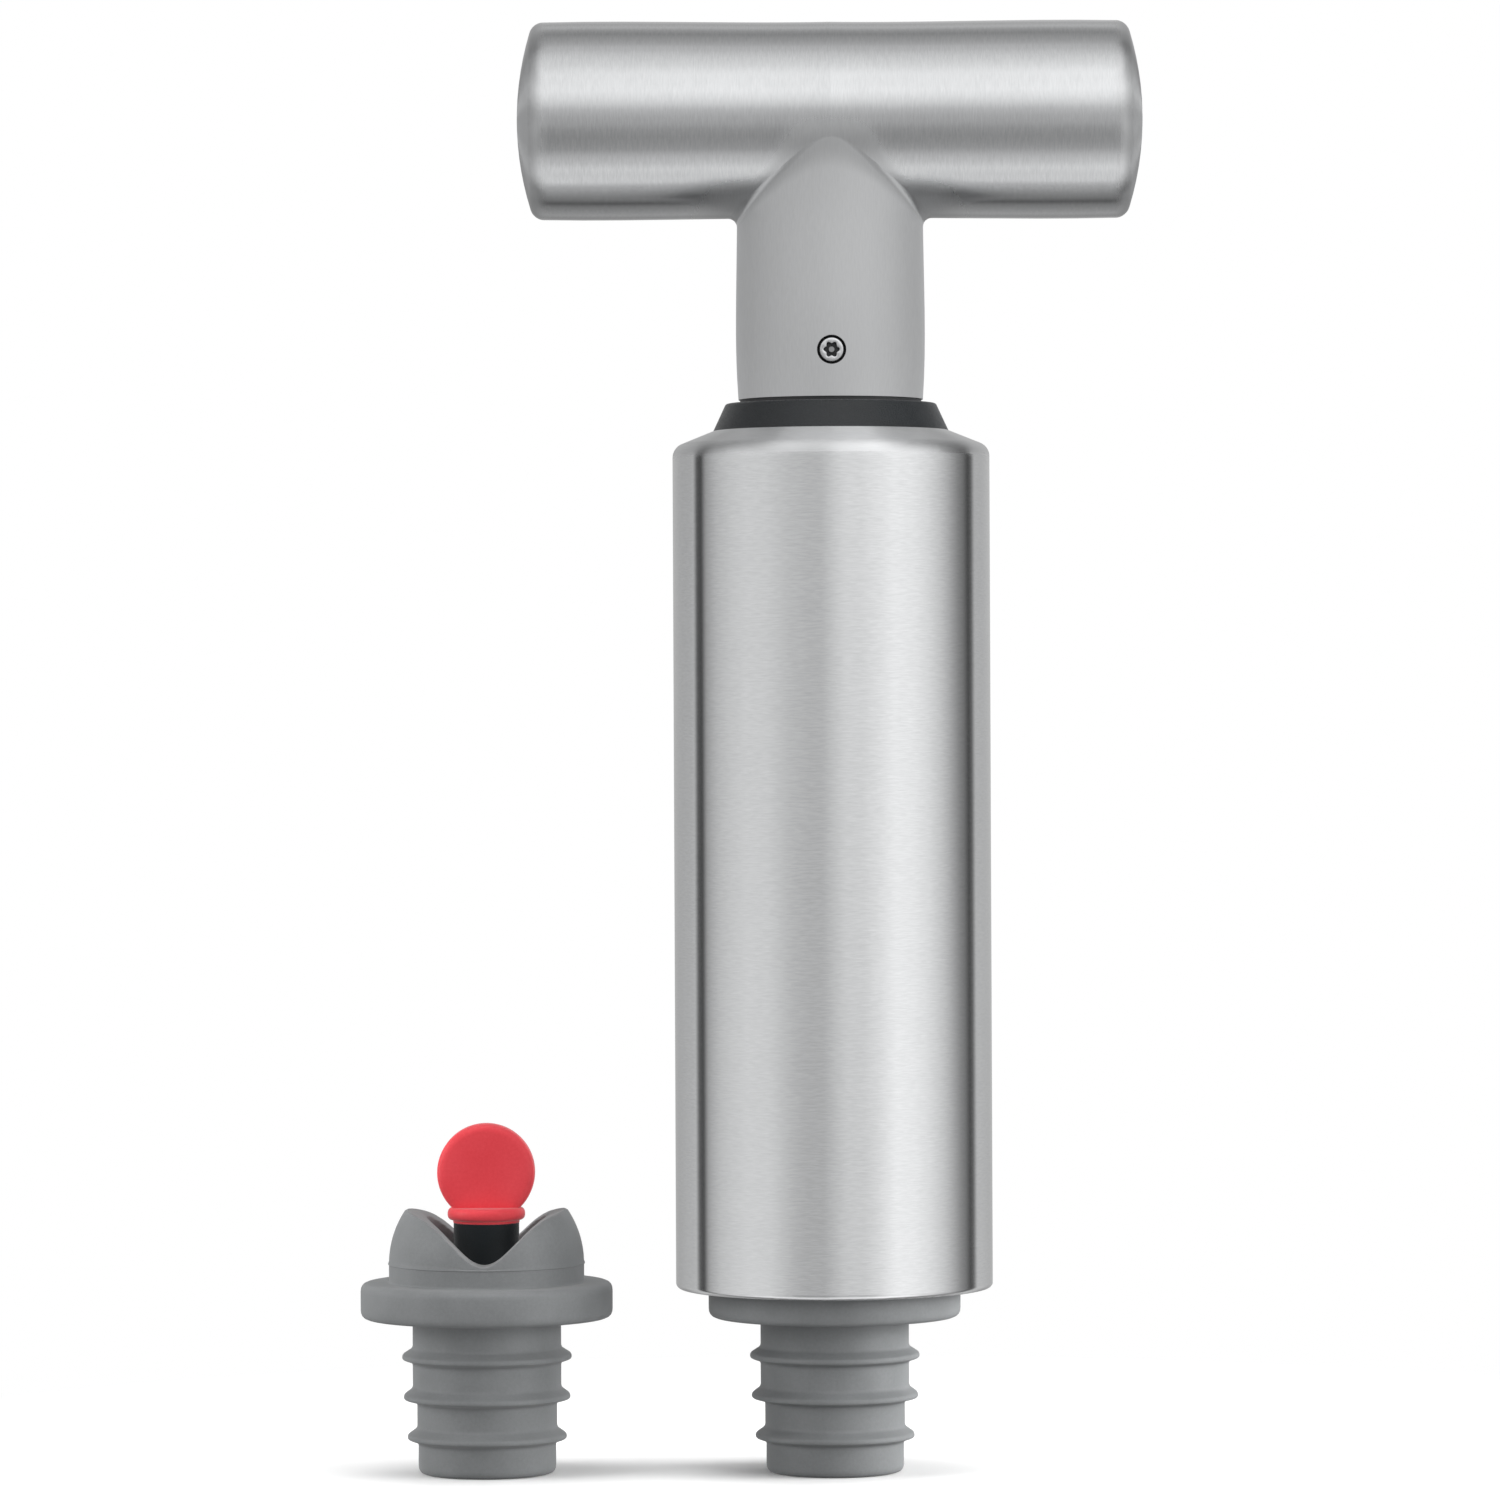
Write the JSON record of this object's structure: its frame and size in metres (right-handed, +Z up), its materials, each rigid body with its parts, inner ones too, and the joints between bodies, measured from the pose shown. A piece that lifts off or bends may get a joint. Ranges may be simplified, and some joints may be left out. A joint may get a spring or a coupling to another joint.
{
  "type": "wine vacuum pump",
  "caption": "Hand pump with a T handle and a steel barrel, standing on a ribbed silicone bottle stopper, with a spare stopper beside it.",
  "frame": {"origin": "centre of the foot of the stopper that carries the pump, on the pump's axis", "axes": "+Z up along the pump's axis, +X along the cross bar away from the spare stopper, -Y the side with the handle screw"},
  "size_m": [0.0983, 0.0396, 0.1812],
  "materials": {
    "brushed_steel": "fine brushed satin",
    "screw_steel": "plain satin",
    "black_plastic": "fine-grained matte",
    "pale_plastic": "plain moulded",
    "grey_silicone": "matte moulded",
    "red_silicone": "matte moulded",
    "black_rubber": "matte"
  },
  "bodies": {
    "stopper": {"stopper_body": "grey_silicone", "valve_cage": "black_plastic"},
    "stopper_valve": {"valve_plug": "black_plastic", "valve_seal": "black_rubber", "pull_tab": "red_silicone"},
    "barrel": {"outer_sleeve": "brushed_steel", "top_collar": "black_plastic", "rod_guide": "black_plastic", "inner_cylinder": "pale_plastic", "cylinder_base": "black_plastic", "cylinder_seal": "black_rubber", "base_socket": "black_plastic", "socket_gasket": "black_rubber"},
    "plunger": {"t_handle": "brushed_steel", "handle_screw": "screw_steel", "handle_insert": "black_plastic", "bumper_ring": "black_rubber", "piston_rod": "black_plastic", "piston_head": "black_plastic", "piston_screw": "screw_steel"},
    "floating_ring": {"piston_seal": "black_rubber"},
    "spare_stopper": {"spare_stopper_body": "grey_silicone", "spare_valve_cage": "black_plastic"},
    "spare_valve": {"spare_valve_plug": "black_plastic", "spare_valve_seal": "black_rubber", "spare_pull_tab": "red_silicone"}
  },
  "joints": [
    {"name": "pump_lift_off", "type": "slide", "parent": "stopper", "child": "barrel", "axis": [0, 0, 1], "range_m": [0, 0.03]},
    {"name": "pump_stroke", "type": "slide", "parent": "barrel", "child": "plunger", "axis": [0, 0, 1], "range_m": [0, 0.055]},
    {"name": "ring_float", "type": "slide", "parent": "plunger", "child": "floating_ring", "axis": [0, 0, 1], "range_m": [0, 0.0013]},
    {"name": "valve_lift", "type": "slide", "parent": "stopper", "child": "stopper_valve", "axis": [0, 0, 1], "range_m": [0, 0.002]},
    {"name": "spare_lift", "type": "slide", "parent": "stopper", "child": "spare_stopper", "axis": [0, 0, 1], "range_m": [0, 0.04]},
    {"name": "spare_valve_lift", "type": "slide", "parent": "spare_stopper", "child": "spare_valve", "axis": [0, 0, 1], "range_m": [0, 0.002]}
  ]
}
